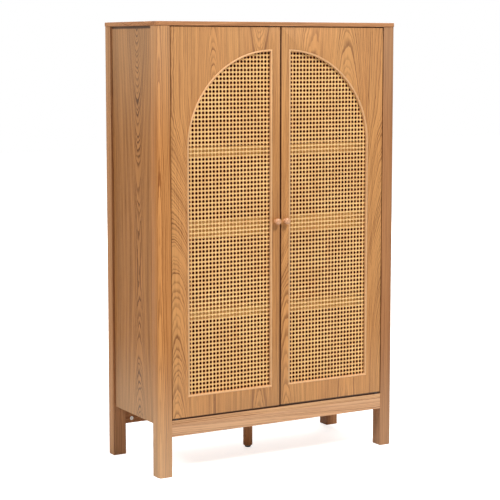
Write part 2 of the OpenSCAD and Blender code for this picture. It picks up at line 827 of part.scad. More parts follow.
module leg_plate_screws() {
    color(steel) placed() for (x = [-leg_screw_at, leg_screw_at], y = [-leg_screw_at, leg_screw_at])
        translate([x, foot_y + y, leg_h - leg_plate_t]) {
            cylinder(d = small_screw_d, h = leg_plate_t + 11);
            translate([0, 0, -head_t]) cylinder(r = small_screw_d, h = head_t);
        }
}

module leg_bolt() {
    color(steel) placed() translate([0, foot_y, leg_h - leg_plate_t - 30])
        cylinder(d = stem_d, h = 30 + leg_plate_t + 8);
}

top_board();
front_left_post();
front_right_post();
rear_left_post();
rear_right_post();
left_side_panel();
right_side_panel();
back_panel();
bottom_board();
centre_divider();
front_apron();
rear_rail();
upper_rear_rail();
left_shelf_low();
left_shelf_middle();
left_shelf_high();
right_shelf_low();
right_shelf_middle();
right_shelf_high();
shelf_rails();
shelf_pins();
left_door_panel();
left_door_bead();
left_door_cane();
left_door_frame();
left_knob();
left_knob_screw();
left_strike_plate();
left_strike_screws();
left_pivot_bushes();
right_door_panel();
right_door_bead();
right_door_cane();
right_door_frame();
right_knob();
right_knob_screw();
right_strike_plate();
right_strike_screws();
right_pivot_bushes();
pivot_pins();
thrust_washers();
magnetic_catches();
catch_screws();
door_bumpers();
cams();
cam_bolts();
dowels();
back_screws();
centre_leg();
leg_plate();
leg_plate_screws();
leg_bolt();
leg_insert();
glide();
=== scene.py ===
import json
import math

import bmesh
import bpy
import numpy as np
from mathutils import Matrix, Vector


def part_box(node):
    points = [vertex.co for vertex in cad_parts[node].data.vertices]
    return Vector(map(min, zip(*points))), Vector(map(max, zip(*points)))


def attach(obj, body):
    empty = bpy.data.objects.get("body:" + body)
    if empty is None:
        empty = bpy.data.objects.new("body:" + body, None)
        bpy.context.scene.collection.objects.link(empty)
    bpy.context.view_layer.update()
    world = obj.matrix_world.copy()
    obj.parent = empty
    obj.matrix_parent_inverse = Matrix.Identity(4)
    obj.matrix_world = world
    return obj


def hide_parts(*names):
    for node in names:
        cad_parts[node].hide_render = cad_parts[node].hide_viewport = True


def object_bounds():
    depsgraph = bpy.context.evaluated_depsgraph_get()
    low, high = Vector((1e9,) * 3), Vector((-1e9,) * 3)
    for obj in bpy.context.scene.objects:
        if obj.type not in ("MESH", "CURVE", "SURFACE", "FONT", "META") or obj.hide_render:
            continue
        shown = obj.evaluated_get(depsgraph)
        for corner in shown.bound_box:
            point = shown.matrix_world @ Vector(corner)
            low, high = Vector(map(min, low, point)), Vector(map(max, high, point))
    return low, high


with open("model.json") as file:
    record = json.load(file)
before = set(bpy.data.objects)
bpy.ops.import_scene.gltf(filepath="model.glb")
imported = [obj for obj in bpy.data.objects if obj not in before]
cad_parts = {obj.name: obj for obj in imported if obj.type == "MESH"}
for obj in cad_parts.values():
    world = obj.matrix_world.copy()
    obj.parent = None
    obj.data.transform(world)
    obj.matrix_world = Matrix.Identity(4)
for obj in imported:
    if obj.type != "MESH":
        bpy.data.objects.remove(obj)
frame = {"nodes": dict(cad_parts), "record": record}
cadLow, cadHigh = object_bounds()
nodes = frame["nodes"]
bodyOf = {}
for bodyName, members in frame["record"]["behaviour"]["bodies"].items():
    for member in members:
        bodyOf[member] = bodyName
print("frame loaded:", len(nodes), "parts")

scene = bpy.context.scene


# small helpers for wiring shader nodes

def paint(red, green, blue):
    # a colour picked on screen, turned into the linear colour that shaders use
    screen = np.array([red, green, blue]) / 255.0
    linear = np.where(screen <= 0.04045, screen / 12.92, ((screen + 0.055) / 1.055) ** 2.4)
    return (*linear.tolist(), 1.0)


def addNode(tree, kind, inputs=None, **settings):
    node = tree.nodes.new(kind)
    for key, value in settings.items():
        setattr(node, key, value)
    for key, value in (inputs or {}).items():
        if isinstance(value, bpy.types.NodeSocket):
            tree.links.new(value, node.inputs[key])
        else:
            node.inputs[key].default_value = value
    return node


def calc(tree, operation, *values, clamp=False):
    inputs = {index: value for index, value in enumerate(values)}
    return addNode(tree, "ShaderNodeMath", inputs, operation=operation, use_clamp=clamp).outputs[0]


def remap(tree, value, low, high, toLow=0.0, toHigh=1.0):
    inputs = {"Value": value, "From Min": low, "From Max": high, "To Min": toLow, "To Max": toHigh}
    return addNode(tree, "ShaderNodeMapRange", inputs, interpolation_type="SMOOTHSTEP").outputs[0]


def blendColours(tree, factor, first, second, how="MIX"):
    node = addNode(tree, "ShaderNodeMix", {0: factor, 6: first, 7: second}, data_type="RGBA",
                   blend_type=how)
    return node.outputs[2]


def join(tree, x, y, z):
    return addNode(tree, "ShaderNodeCombineXYZ", {0: x, 1: y, 2: z}).outputs[0]


def cloud(tree, vector, scale=1.0, detail=2.0, roughness=0.5):
    inputs = {"Vector": vector, "Scale": scale, "Detail": detail, "Roughness": roughness}
    return addNode(tree, "ShaderNodeTexNoise", inputs).outputs["Fac"]


def cloudLine(tree, position, scale=1.0, detail=2.0, roughness=0.5):
    inputs = {"W": position, "Scale": scale, "Detail": detail, "Roughness": roughness}
    return addNode(tree, "ShaderNodeTexNoise", inputs, noise_dimensions="1D").outputs["Fac"]


def newMaterial(name, **shaderValues):
    material = bpy.data.materials.new(name)
    material.use_nodes = True
    shader = material.node_tree.nodes["Principled BSDF"]
    for key, value in shaderValues.items():
        shader.inputs[key].default_value = value
    return material, material.node_tree, shader


# Wood: a board is cut from a log of nested rings. The rings are measured as the distance from a pith
# line that runs along the grain, "heart" across the board and "near" behind its face. Where the pith
# leans away from the face the rings are cut as nested arches.

woodLook = {
    "ringGap": 0.0032,        # one year's growth
    "light": (212, 155, 97),
    "dark": (116, 65, 30),
    "base": 0.10,             # how dark the wood is between the lines
    "lines": 0.66,            # strength of the dark line that starts each year
    "bands": 0.22,            # broad tone changes over several years
    "streaks": 0.24,
    "fibres": 0.42,
    "pores": 0.25,
    "patches": 0.22,
    "hues": 0.16,             # slow changes between yellower and redder wood
    "warp": 0.0045,           # slow bending of the figure, in metres
    "ragged": 0.0012,         # quick bending along the fibres
    "yearDrift": 1.8,         # how unevenly wide the years are
    "lineStart": 0.07,        # share of a year after which its line is darkest
    "lineFade": (0.16, 0.62), # share of a year over which the line fades again
    "weakestLine": 0.38,      # strength of the faintest year beside the darkest
    "roughness": (0.46, 0.60),
    "sheen": 0.22,            # how much the lacquer mirrors
    "bump": 0.12,
    "paintedEndLight": (0.0, 0.0),   # painted light: how much paler an upright board gets towards its foot and its top, standing in for light from the floor below and the lamps above
    # colour of the painted light at the ends
    "endLightColour": (255, 236, 204),
    "footEnds": 0.45,         # height up to which the foot is paler
    "topReach": 0.42,         # how far down from the top it is paler
    "inside": 1.0,            # painted shade: tone of the inner face, where a panel closes the dark inside of the cabinet
    "paintedShadeEdges": (),              # painted shade along edges, for the shadows in gaps, beside steps and under overhangs: axis, end, width, tone, depth
    # noise cells in a metre, across and along the grain
    "warpCells": (8.0, 3.0),
    "raggedCells": (45.0, 14.0),
    "finestCells": (190.0, 45.0),
    "fibreCells": (400.0, 7.0),
    "streakCells": (170.0, 2.6),
    "poreCells": (1900.0, 80.0),
    "patchCells": (15.0, 1.6),
    "hueCells": (11.0, 1.3),
}

# where each leaf ends, where its pith lies across and behind the face, and how that changes along it
plainLeaf = {"edge": 9.0, "heart": 0.0, "near": 0.05, "lean": 0.0, "bendAt": 0.0, "bend": 0.0,
             "rise": 0.0, "sway": 0.0, "from": 0.0, "to": 1.0, "tone": 1.0}
cabinetMiddle = (cadLow + cadHigh) / 2


def outerFace(part, axis):
    # the place of the part's outer face along an axis, and the way inwards from it
    low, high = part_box(part)
    isRearOrRight = (low[axis] + high[axis]) / 2 > cabinetMiddle[axis] + 0.1
    return (high[axis], -1.0) if isRearOrRight else (low[axis], 1.0)


def shadeOf(tone, *powers):
    # a colour to multiply by, which takes more green and blue away than red
    return tuple(tone ** power for power in powers) + (1.0,)


def makeWood(name, grain="z", across="x", leaves=({},), seed=0.0, part="", **changes):
    look = {**woodLook, **changes}
    leaves = [{**plainLeaf, **leaf} for leaf in leaves]
    low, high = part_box(part) if part else (None, None)
    material, tree, shader = newMaterial(name, **{"Specular IOR Level": look["sheen"]})
    place = addNode(tree, "ShaderNodeTexCoord").outputs["Object"]
    parts = addNode(tree, "ShaderNodeSeparateXYZ", {0: place}).outputs
    axes = {"x": parts[0], "y": parts[1], "z": parts[2]}
    into = ({"x", "y", "z"} - {grain, across}).pop()
    along, side, deep = axes[grain], axes[across], axes[into]
    face, inwards = outerFace(part, "xyz".index(into)) if part else (0.0, 1.0)
    behindFace = calc(tree, "MULTIPLY", calc(tree, "SUBTRACT", deep, face), inwards)

    # values that step from one veneer leaf to the next
    steps = [calc(tree, "GREATER_THAN", side, leaf["edge"]) for leaf in leaves[:-1]]

    def leafValue(key):
        result = leaves[0][key]
        for step, before, after in zip(steps, leaves, leaves[1:]):
            if after[key] != before[key]:
                result = calc(tree, "MULTIPLY_ADD", step, after[key] - before[key], result)
        return result

    leafNumber = seed
    for step in steps:
        leafNumber = calc(tree, "MULTIPLY_ADD", step, 3.7, leafNumber)
    alongSeeded = calc(tree, "ADD", along, leafNumber)

    def stretched(cells, detail=1.0, roughness=0.5):
        # noise drawn out along the grain
        acrossScale, alongScale = look[cells]
        vector = join(tree, calc(tree, "MULTIPLY", side, acrossScale),
                      calc(tree, "MULTIPLY", deep, acrossScale),
                      calc(tree, "MULTIPLY", alongSeeded, alongScale))
        return cloud(tree, vector, 1.0, detail, roughness)

    # distance from the pith, bent slowly, then quickly
    sideways = calc(tree, "SUBTRACT", side, leafValue("heart"))
    past = calc(tree, "SUBTRACT", along, leafValue("bendAt"))
    fall = calc(tree, "MULTIPLY", calc(tree, "MULTIPLY", past, past), leafValue("bend"))
    depth = calc(tree, "MULTIPLY_ADD", along, leafValue("lean"), leafValue("near"))
    if any(leaf["rise"] for leaf in leaves):
        climb = remap(tree, along, leafValue("from"), leafValue("to"))
        depth = calc(tree, "MULTIPLY_ADD", climb, leafValue("rise"), depth)
        sideways = calc(tree, "MULTIPLY_ADD", climb, leafValue("sway"), sideways)
    depth = calc(tree, "ADD", calc(tree, "SUBTRACT", depth, fall), behindFace)
    squares = calc(tree, "ADD", calc(tree, "MULTIPLY", sideways, sideways),
                   calc(tree, "MULTIPLY", depth, depth))
    distance = calc(tree, "SQRT", squares)
    for noise, size in ((stretched("warpCells"), 2 * look["warp"]),
                        (stretched("raggedCells", 2.0), 2 * look["ragged"]),
                        (stretched("finestCells"), 0.8 * look["ragged"])):
        distance = calc(tree, "MULTIPLY_ADD", calc(tree, "SUBTRACT", noise, 0.5), size, distance)

    # each year starts with a sharp dark line that fades, some years stronger than others
    years = calc(tree, "DIVIDE", distance, look["ringGap"])
    yearDrift = cloudLine(tree, calc(tree, "ADD", years, leafNumber), 0.35, 1.0)
    years = calc(tree, "MULTIPLY_ADD", yearDrift, look["yearDrift"], years)
    growth = calc(tree, "FRACT", years)
    yearSeed = calc(tree, "ADD", calc(tree, "FLOOR", years), leafNumber)
    yearPower = addNode(tree, "ShaderNodeTexWhiteNoise", {"W": yearSeed},
                        noise_dimensions="1D").outputs[0]
    ringLine = calc(tree, "MULTIPLY", remap(tree, growth, *look["lineFade"], 1.0, 0.0),
                    remap(tree, growth, 0.0, look["lineStart"]))
    weakest = look["weakestLine"]
    linePower = calc(tree, "MULTIPLY_ADD", yearPower, 1.0 - weakest, weakest)
    ringLine = calc(tree, "MULTIPLY", ringLine, linePower)
    bandNoise = cloudLine(tree, calc(tree, "MULTIPLY_ADD", leafNumber, 5.3, years), 0.22, 2.0, 0.6)

    # fibres, open pores and slow tone changes
    fibres = stretched("fibreCells", 3.0, 0.65)
    streaks = stretched("streakCells", 2.0, 0.6)
    pores = remap(tree, stretched("poreCells"), 0.58, 0.72)
    pores = calc(tree, "MULTIPLY", pores, calc(tree, "MULTIPLY_ADD", ringLine, 0.9, 0.12))
    patches = stretched("patchCells", 2.0)

    darkness = look["base"]
    darkness = calc(tree, "MULTIPLY_ADD", ringLine, look["lines"], darkness)
    for value, strength in ((bandNoise, "bands"), (fibres, "fibres"), (streaks, "streaks"),
                            (patches, "patches")):
        centred = calc(tree, "SUBTRACT", value, 0.5)
        darkness = calc(tree, "MULTIPLY_ADD", centred, 2.0 * look[strength], darkness)
    darkness = calc(tree, "MULTIPLY_ADD", pores, look["pores"], darkness, clamp=True)
    colour = blendColours(tree, darkness, paint(*look["light"]), paint(*look["dark"]))
    tone = leafValue("tone")
    if isinstance(tone, bpy.types.NodeSocket) or tone != 1.0:
        colour = blendColours(tree, 1.0, colour, join(tree, tone, tone, tone), "MULTIPLY")
    hue = calc(tree, "MULTIPLY", calc(tree, "SUBTRACT", stretched("hueCells", 2.0), 0.5), look["hues"])
    hueColour = join(tree, 1.0, calc(tree, "ADD", hue, 1.0), calc(tree, "MULTIPLY_ADD", hue, 1.7, 1.0))
    colour = blendColours(tree, 1.0, colour, hueColour, "MULTIPLY")
    # painted shade on the inner faces, for the dark inside of the closed cabinet
    if look["inside"] != 1.0:
        inner = calc(tree, "GREATER_THAN", behindFace, 0.5 * (high - low)["xyz".index(into)])
        shadedInside = blendColours(tree, 1.0, colour, shadeOf(look["inside"], 1.0, 1.4, 1.9), "MULTIPLY")
        colour = blendColours(tree, inner, colour, shadedInside)
    # painted shade along the chosen edges, for the shadows in gaps and under overhangs
    for axis, end, width, tone, reach in look["paintedShadeEdges"]:
        edge = (high if end == "high" else low)["xyz".index(axis)]
        fromEdge = calc(tree, "ABSOLUTE", calc(tree, "SUBTRACT", axes[axis], edge))
        shaded = blendColours(tree, 1.0, colour, shadeOf(tone, 1.0, 1.3, 1.6), "MULTIPLY")
        within = calc(tree, "MULTIPLY", calc(tree, "LESS_THAN", behindFace, reach),
                      remap(tree, fromEdge, 0.6 * width, width, 1.0, 0.0))
        colour = blendColours(tree, within, colour, shaded)
    # painted light: the board gets paler towards its foot and its top
    if any(look["paintedEndLight"]):
        footLight, topLight = look["paintedEndLight"]
        nearFoot = remap(tree, along, low.z, look["footEnds"], 1.0, 0.0)
        nearTop = remap(tree, along, high.z - look["topReach"], high.z)
        ends = calc(tree, "MULTIPLY_ADD", nearTop, topLight, calc(tree, "MULTIPLY", nearFoot, footLight))
        colour = blendColours(tree, ends, colour, paint(*look["endLightColour"]))
    tree.links.new(colour, shader.inputs["Base Color"])

    tree.links.new(remap(tree, fibres, 0.25, 0.75, *look["roughness"]), shader.inputs["Roughness"])
    height = calc(tree, "MULTIPLY_ADD", pores, -0.8, calc(tree, "MULTIPLY", fibres, 0.35))
    bump = addNode(tree, "ShaderNodeBump", {"Height": height, "Strength": look["bump"], "Distance": 0.0004})
    tree.links.new(bump.outputs[0], shader.inputs["Normal"])
    return material


# every wooden part, with its own cut of the log
# side panels: a painted shadow under the overhang of the top board, and painted shade on the inner face
panelColours = {"light": (189, 131, 77), "dark": (82, 40, 16), "paintedEndLight": (0.14, 0.105), "sheen": 0.08,
                "hues": 0.06, "lines": 0.86, "inside": 0.10, "paintedShadeEdges": (("z", "high", 0.0105, 0.20, 1.0),)}
doorColours = {"light": (209, 149, 89), "dark": (104, 52, 22), "paintedEndLight": (0.05, 0.04), "lines": 0.64,
               "fibres": 0.54, "streaks": 0.30, "bands": 0.26}
shelfColours = {"grain": "x", "across": "y", "light": (172, 108, 40), "dark": (120, 66, 18),
                "sheen": 0.08}
woodParts = {
    "left_door_panel": {
        **doorColours, "seed": 1.3, "ringGap": 0.0022,
        # painted shade in the gaps round the door
        "paintedShadeEdges": (("x", "high", 0.0018, 0.30, 0.0015), ("z", "low", 0.0030, 0.18, 0.0015),
                  ("z", "high", 0.0016, 0.5, 0.0015)),
        "leaves": ({"edge": -0.302, "heart": -0.369, "near": 0.018, "lean": 0.10, "bend": 0.05,
                    "bendAt": 0.25, "rise": 0.05, "sway": 0.05, "from": 0.55, "to": 1.15, "tone": 0.975},
                   {"edge": -0.134, "heart": -0.240, "near": 0.010, "rise": 0.030, "from": 0.90,
                    "to": 1.60},
                   {"heart": -0.077, "near": 0.060, "lean": 0.02, "rise": -0.05, "from": 0.95,
                    "to": 1.75, "tone": 0.965})},
    "right_door_panel": {
        **doorColours, "seed": 6.1, "ringGap": 0.0023,
        # painted shade in the gaps round the door
        "paintedShadeEdges": (("x", "low", 0.0018, 0.30, 0.0075), ("z", "low", 0.0042, 0.10, 0.0015),
                  ("z", "high", 0.0016, 0.5, 0.0015)),
        "leaves": ({"edge": 0.140, "heart": 0.022, "near": 0.030, "lean": 0.05, "rise": 0.02,
                    "sway": -0.10, "from": 0.50, "to": 0.95},
                   {"edge": 0.330, "heart": 0.252, "near": 0.060, "lean": 0.01, "rise": 0.030,
                    "from": 0.90, "to": 1.60},
                   {"heart": 0.412, "near": 0.060, "rise": 0.09, "from": 0.20, "to": 1.25,
                    "tone": 0.96})},
    "left_side_panel": {**panelColours, "across": "y", "seed": 2.2, "ringGap": 0.0022,
                        "leaves": ({"heart": -0.026, "near": 0.090, "bendAt": 0.66, "bend": 0.10},)},
    "right_side_panel": {**panelColours, "across": "y", "seed": 9.4, "ringGap": 0.0023, "lines": 0.66,
                         "leaves": ({"heart": 0.034, "near": 0.095, "bendAt": 0.80, "bend": 0.10},)},
    "front_left_post": {"seed": 3.1, "light": (206, 143, 84), "dark": (118, 60, 24), "streaks": 0.34,
                        "sheen": 0.06, "paintedEndLight": (0.24, 0.12),
                        "leaves": ({"heart": -0.470, "near": 0.060, "lean": 0.012},)},
    "front_right_post": {"seed": 4.6, "light": (178, 124, 79), "dark": (104, 58, 30), "streaks": 0.24,
                         "paintedEndLight": (0.09, 0.07),
                         "leaves": ({"heart": 0.330, "near": 0.070, "lean": -0.010},)},
    "rear_left_post": {"seed": 5.9, "light": (194, 142, 98), "streaks": 0.24, "paintedEndLight": (0.06, 0.045),
                       # painted shade on the step beside the side panel
                       "sheen": 0.12, "paintedShadeEdges": (("y", "low", 0.0008, 0.80, 1.0),),
                       "leaves": ({"heart": -0.500, "near": 0.090, "lean": 0.010},)},
    # painted shade: coloured darker than the other posts, for the shadow the cabinet casts on it
    "rear_right_post": {"seed": 7.7, "light": (168, 118, 78), "streaks": 0.24,
                        "leaves": ({"heart": 0.470, "near": 0.080, "lean": -0.012},)},
    "top_board": {"grain": "x", "across": "y", "seed": 8.2, "light": (198, 142, 99), "sheen": 0.08,
                  "leaves": ({"edge": -0.055, "heart": -0.120, "near": 0.09, "lean": 0.055},
                             {"edge": 0.075, "heart": 0.020, "near": 0.06, "lean": -0.05, "tone": 0.98},
                             {"heart": 0.140, "near": 0.08, "lean": 0.06})},
    "bottom_board": {"grain": "x", "across": "y", "seed": 9.9, "light": (222, 173, 127),
                     # painted shade in the gap under the doors
                     "paintedShadeEdges": (("z", "high", 0.0012, 0.14, 1.0),),
                     "leaves": ({"heart": -0.28, "near": 0.09, "lean": 0.012},)},
    "front_apron": {"grain": "x", "across": "z", "seed": 10.4, "light": (216, 170, 130),
                    "dark": (140, 92, 56), "leaves": ({"heart": 0.10, "near": 0.07, "lean": 0.02},)},
    "rear_rail": {"grain": "x", "across": "z", "seed": 11.8, "light": (176, 124, 80),
                  "dark": (110, 66, 36), "leaves": ({"heart": 0.16, "near": 0.07, "lean": 0.02},)},
    "upper_rear_rail": {"grain": "x", "across": "z", "seed": 12.6,
                        "leaves": ({"heart": 1.30, "near": 0.07, "lean": 0.02},)},
    # painted shade on the inner face of the back panel
    "back_panel": {"seed": 13.5, "inside": 0.06, "sheen": 0.08, "light": (208, 156, 106),
                   "dark": (140, 90, 50),
                   "leaves": ({"edge": -0.20, "heart": -0.300, "near": 0.05, "lean": 0.05},
                              {"edge": 0.0, "heart": -0.100, "near": 0.12, "lean": -0.05, "tone": 0.98},
                              {"edge": 0.20, "heart": 0.100, "near": 0.06, "lean": 0.055},
                              {"heart": 0.300, "near": 0.13, "lean": -0.05, "tone": 0.97})},
    # painted shade: the divider is coloured dark for the shade inside the cabinet
    "centre_divider": {"across": "y", "seed": 14.4, "light": (84, 42, 20), "dark": (52, 24, 10),
                       "sheen": 0.08, "leaves": ({"near": 0.08, "lean": 0.05},)},
    # painted light: the rails are paler than the shelves, for the lit shelf fronts seen through the cane
    "shelf_rails": {"grain": "x", "across": "z", "seed": 18.3, "light": (236, 184, 104),
                    "dark": (178, 124, 58), "leaves": ({"heart": 0.3, "near": 0.08, "lean": 0.02},)},
    "centre_leg": {"seed": 15.2, "light": (190, 136, 92), "dark": (120, 74, 42),
                   "leaves": ({"heart": 0.06, "near": 0.05, "lean": 0.01},)},
}
for number, shelf in enumerate(("left_shelf_low", "left_shelf_middle", "left_shelf_high",
                                "right_shelf_low", "right_shelf_middle", "right_shelf_high")):
    heart = -0.03 + 0.02 * number
    woodParts[shelf] = {**shelfColours, "seed": 20.0 + 1.9 * number,
                        "leaves": ({"heart": heart, "near": 0.06, "lean": 0.05},)}
for number, door in enumerate(("left", "right")):
    heart = 0.5 * (2 * number - 1)
    woodParts[door + "_door_frame"] = {"seed": 31.0 + 3.0 * number,
                                       "leaves": ({"heart": heart, "near": 0.06, "lean": 0.02},)}

woodMaterials = {part: makeWood("wood_" + part, part=part, **cut) for part, cut in woodParts.items()}
print("wood:", len(woodMaterials), "cuts")


def makeMetal(name, colour, roughness):
    material, tree, shader = newMaterial(name, Metallic=1.0)
    place = addNode(tree, "ShaderNodeTexCoord").outputs["Object"]
    scuff = cloud(tree, place, 900.0, 3.0, 0.6)
    tree.links.new(remap(tree, scuff, 0.3, 0.7, roughness - 0.07, roughness + 0.1),
                   shader.inputs["Roughness"])
    worn = tuple(0.82 * channel for channel in paint(*colour)[:3]) + (1.0,)
    tree.links.new(blendColours(tree, remap(tree, scuff, 0.35, 0.75), paint(*colour), worn),
                   shader.inputs["Base Color"])
    bump = addNode(tree, "ShaderNodeBump", {"Height": scuff, "Strength": 0.08, "Distance": 0.0002})
    tree.links.new(bump.outputs[0], shader.inputs["Normal"])
    return material


def makePlastic(name, colour, roughness):
    material, tree, shader = newMaterial(name)
    place = addNode(tree, "ShaderNodeTexCoord").outputs["Object"]
    grainy = cloud(tree, place, 2600.0, 2.0, 0.6)
    mottled = cloud(tree, place, 90.0, 2.0)
    lighter = tuple(min(1.0, 1.25 * channel + 0.004) for channel in paint(*colour)[:3]) + (1.0,)
    tree.links.new(blendColours(tree, mottled, paint(*colour), lighter), shader.inputs["Base Color"])
    tree.links.new(remap(tree, grainy, 0.3, 0.7, roughness - 0.06, roughness + 0.08),
                   shader.inputs["Roughness"])
    bump = addNode(tree, "ShaderNodeBump", {"Height": grainy, "Strength": 0.12, "Distance": 0.0002})
    tree.links.new(bump.outputs[0], shader.inputs["Normal"])
    return material


zinc = makeMetal("zinc_steel", (172, 168, 162), 0.34)
darkSteel = makeMetal("dark_steel", (70, 66, 62), 0.42)
blackPlastic = makePlastic("black_plastic", (24, 24, 25), 0.45)
whitePlastic = makePlastic("white_plastic", (226, 225, 220), 0.42)
dowelWood = makeWood("wood_dowels", grain="x", across="y", seed=41.0, light=(222, 190, 146),
                     dark=(188, 148, 102), leaves=({"heart": 0.3, "near": 0.2},))

plainParts = {
    zinc: ("shelf_pins", "catch_screws", "cams", "cam_bolts", "back_screws", "leg_plate",
           "leg_plate_screws", "leg_bolt", "leg_insert", "left_knob_screw", "right_knob_screw",
           "left_strike_plate", "right_strike_plate", "left_strike_screws", "right_strike_screws"),
    whitePlastic: ("magnetic_catches", "door_bumpers", "left_pivot_bushes", "right_pivot_bushes"),
    darkSteel: ("pivot_pins",),
    dowelWood: ("dowels",),
    blackPlastic: ("glide", "thrust_washers"),
}
for material, names in plainParts.items():
    for name in names:
        nodes[name].data.materials.clear()
        nodes[name].data.materials.append(material)
print("fittings painted")


edgeSoftness = {"usual": 0.0010, "top_board": 0.0016, "front_left_post": 0.0016, "front_right_post": 0.0016,
                "rear_left_post": 0.0016, "rear_right_post": 0.0016, "back_panel": 0.0004}
edgeChoice = {
    "sharperThan": 50,      # degrees between the two faces at an edge that is rounded
    "fullLength": 0.96,     # share of the part's size that one of its faces spans
    "shortest": 0.012,      # shorter edges stay sharp, unless the part is thin
    "thin": 0.05,
}


def softenedCopy(name):
    # the part's own shape with its triangles merged, and a small round on the long outer edges
    source = nodes[name]
    form = bmesh.new()
    form.from_mesh(source.data)
    bmesh.ops.remove_doubles(form, verts=form.verts, dist=2e-5)
    bmesh.ops.dissolve_limit(form, angle_limit=math.radians(0.6), verts=form.verts, edges=form.edges)
    low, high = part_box(name)
    size = high - low
    weights = form.edges.layers.float.new("bevel_weight_edge")
    for edge in form.edges:
        if len(edge.link_faces) != 2 or not edge.is_convex:
            continue
        if edge.calc_face_angle(0.0) < math.radians(edgeChoice["sharperThan"]):
            continue
        spans = False
        for face in edge.link_faces:
            corners = np.array([corner.co for corner in face.verts])
            reach = corners.max(0) - corners.min(0)
            spans = spans or bool((reach > edgeChoice["fullLength"] * np.array(size)).any())
        if spans and (edge.calc_length() > edgeChoice["shortest"] or min(size) < edgeChoice["thin"]):
            edge[weights] = 1.0
    mesh = bpy.data.meshes.new(name + "_soft")
    form.to_mesh(mesh)
    form.free()
    mesh.shade_smooth()
    mesh.set_sharp_from_angle(angle=math.radians(35))
    piece = bpy.data.objects.new(name + "_soft", mesh)
    scene.collection.objects.link(piece)
    bevel = piece.modifiers.new("soft edges", "BEVEL")
    bevel.limit_method = "WEIGHT"
    bevel.width = edgeSoftness.get(name, edgeSoftness["usual"])
    bevel.segments = 2
    bevel.use_clamp_overlap = False
    bevel.harden_normals = True
    mesh.materials.append(woodMaterials[name])
    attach(piece, bodyOf[name])
    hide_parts(name)
    return piece


for name in woodParts:
    softenedCopy(name)
print("boards:", len(woodParts))


def addSurface(name, points, faces, body, material, replaced, uv=None, sharpAngle=35):
    mesh = bpy.data.meshes.new(name)
    mesh.vertices.add(len(points))
    mesh.vertices.foreach_set("co", np.asarray(points, np.float32).ravel())
    faces = np.asarray(faces, np.int32)
    mesh.loops.add(faces.size)
    mesh.loops.foreach_set("vertex_index", faces.ravel())
    mesh.polygons.add(len(faces))
    mesh.polygons.foreach_set("loop_start", np.arange(0, faces.size, faces.shape[1], dtype=np.int32))
    mesh.update(calc_edges=True)
    mesh.validate()
    if uv is not None:
        layer = mesh.uv_layers.new(name="UVMap")
        layer.data.foreach_set("uv", np.asarray(uv, np.float32)[faces.ravel()].ravel())
    mesh.shade_smooth()
    mesh.set_sharp_from_angle(angle=math.radians(sharpAngle))
    mesh.materials.append(material)
    piece = bpy.data.objects.new(name, mesh)
    scene.collection.objects.link(piece)
    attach(piece, body)
    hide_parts(*replaced)
    return piece


def gridFaces(rows, columns, closedRows=False, closedColumns=False):
    # quads over a grid of rows x columns of points, joined up at an end where the surface is closed
    rowCount = rows if closedRows else rows - 1
    columnCount = columns if closedColumns else columns - 1
    row, column = np.meshgrid(np.arange(rowCount), np.arange(columnCount), indexing="ij")
    nextRow, nextColumn = (row + 1) % rows, (column + 1) % columns
    corners = (row * columns + column, nextRow * columns + column,
               nextRow * columns + nextColumn, row * columns + nextColumn)
    return np.stack([corner.ravel() for corner in corners], axis=1)


# the bead round each opening
beadLook = {
    "wide": 0.006,
    "round": 0.0018,       # round of the two front edges
    "roundSteps": 5,
    "arcSteps": 72,
    "uprightShade": 0.80,   # painted shade: tone of the upright strips beside the sill strip, which catch less light from above
    # painted shade of each arch; the right one, turned away from the left lamp, is darker
    "archShade": {"left": 1.0, "right": 0.87},
    "archFade": 0.12,      # height over which the arch takes its own tone
    "sillTop": (0.005, 0.009),
    "streaks": 0.9,
    "patches": 0.6,
    "light": (240, 188, 134),
    "dark": (202, 148, 96),
}


def archOutline(side, steps):
    # bottom inner corner, bottom outer corner, up to the quarter circle, over to the top inner corner
    low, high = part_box(side + "_door_bead")
    radius = high.x - low.x
    springHeight = high.z - radius
    turn = np.linspace(0.0, math.pi / 2, steps)
    x = np.concatenate([[0.0, radius], radius * np.cos(turn)])
    z = np.concatenate([[low.z, low.z], springHeight + radius * np.sin(turn)])
    return np.stack([x, z], axis=1), low, high


def makeBead(side, material):
    path, low, high = archOutline(side, beadLook["arcSteps"])
    ahead = np.roll(path, -1, axis=0) - path
    ahead /= np.linalg.norm(ahead, axis=1)[:, None]
    behind = np.roll(ahead, 1, axis=0)
    # inward normals of the two sides that meet in each corner; their mitre is n1 + n2 over 1 + n1.n2
    normalAhead = np.stack([-ahead[:, 1], ahead[:, 0]], axis=1)
    normalBehind = np.stack([-behind[:, 1], behind[:, 0]], axis=1)
    mitre = (normalAhead + normalBehind) / (1 + (normalAhead * normalBehind).sum(1))[:, None]
    # profile: a flat back, and a front whose two edges are quarter rounds
    wide, deep, edge = beadLook["wide"], high.y - low.y, beadLook["round"]
    turn = np.linspace(0.0, math.pi / 2, beadLook["roundSteps"])
    inAcross = np.concatenate([[0.0], edge - edge * np.cos(turn), wide - edge + edge * np.sin(turn),
                               [wide]])
    inDepth = np.concatenate([[deep], edge - edge * np.sin(turn), edge - edge * np.cos(turn), [deep]])
    flip = -1.0 if side == "left" else 1.0
    start = low.x if side == "right" else high.x
    points = np.empty((len(path), len(inAcross), 3))
    points[..., 0] = start + flip * (path[:, None, 0] + mitre[:, None, 0] * inAcross)
    points[..., 1] = low.y + inDepth
    points[..., 2] = path[:, None, 1] + mitre[:, None, 1] * inAcross
    faces = gridFaces(*points.shape[:2], closedRows=True, closedColumns=True)
    if side == "left":
        faces = faces[:, ::-1]
    return addSurface(side + "_bead_ring", points.reshape(-1, 3), faces, side + "_door",
                      material, [side + "_door_bead"])


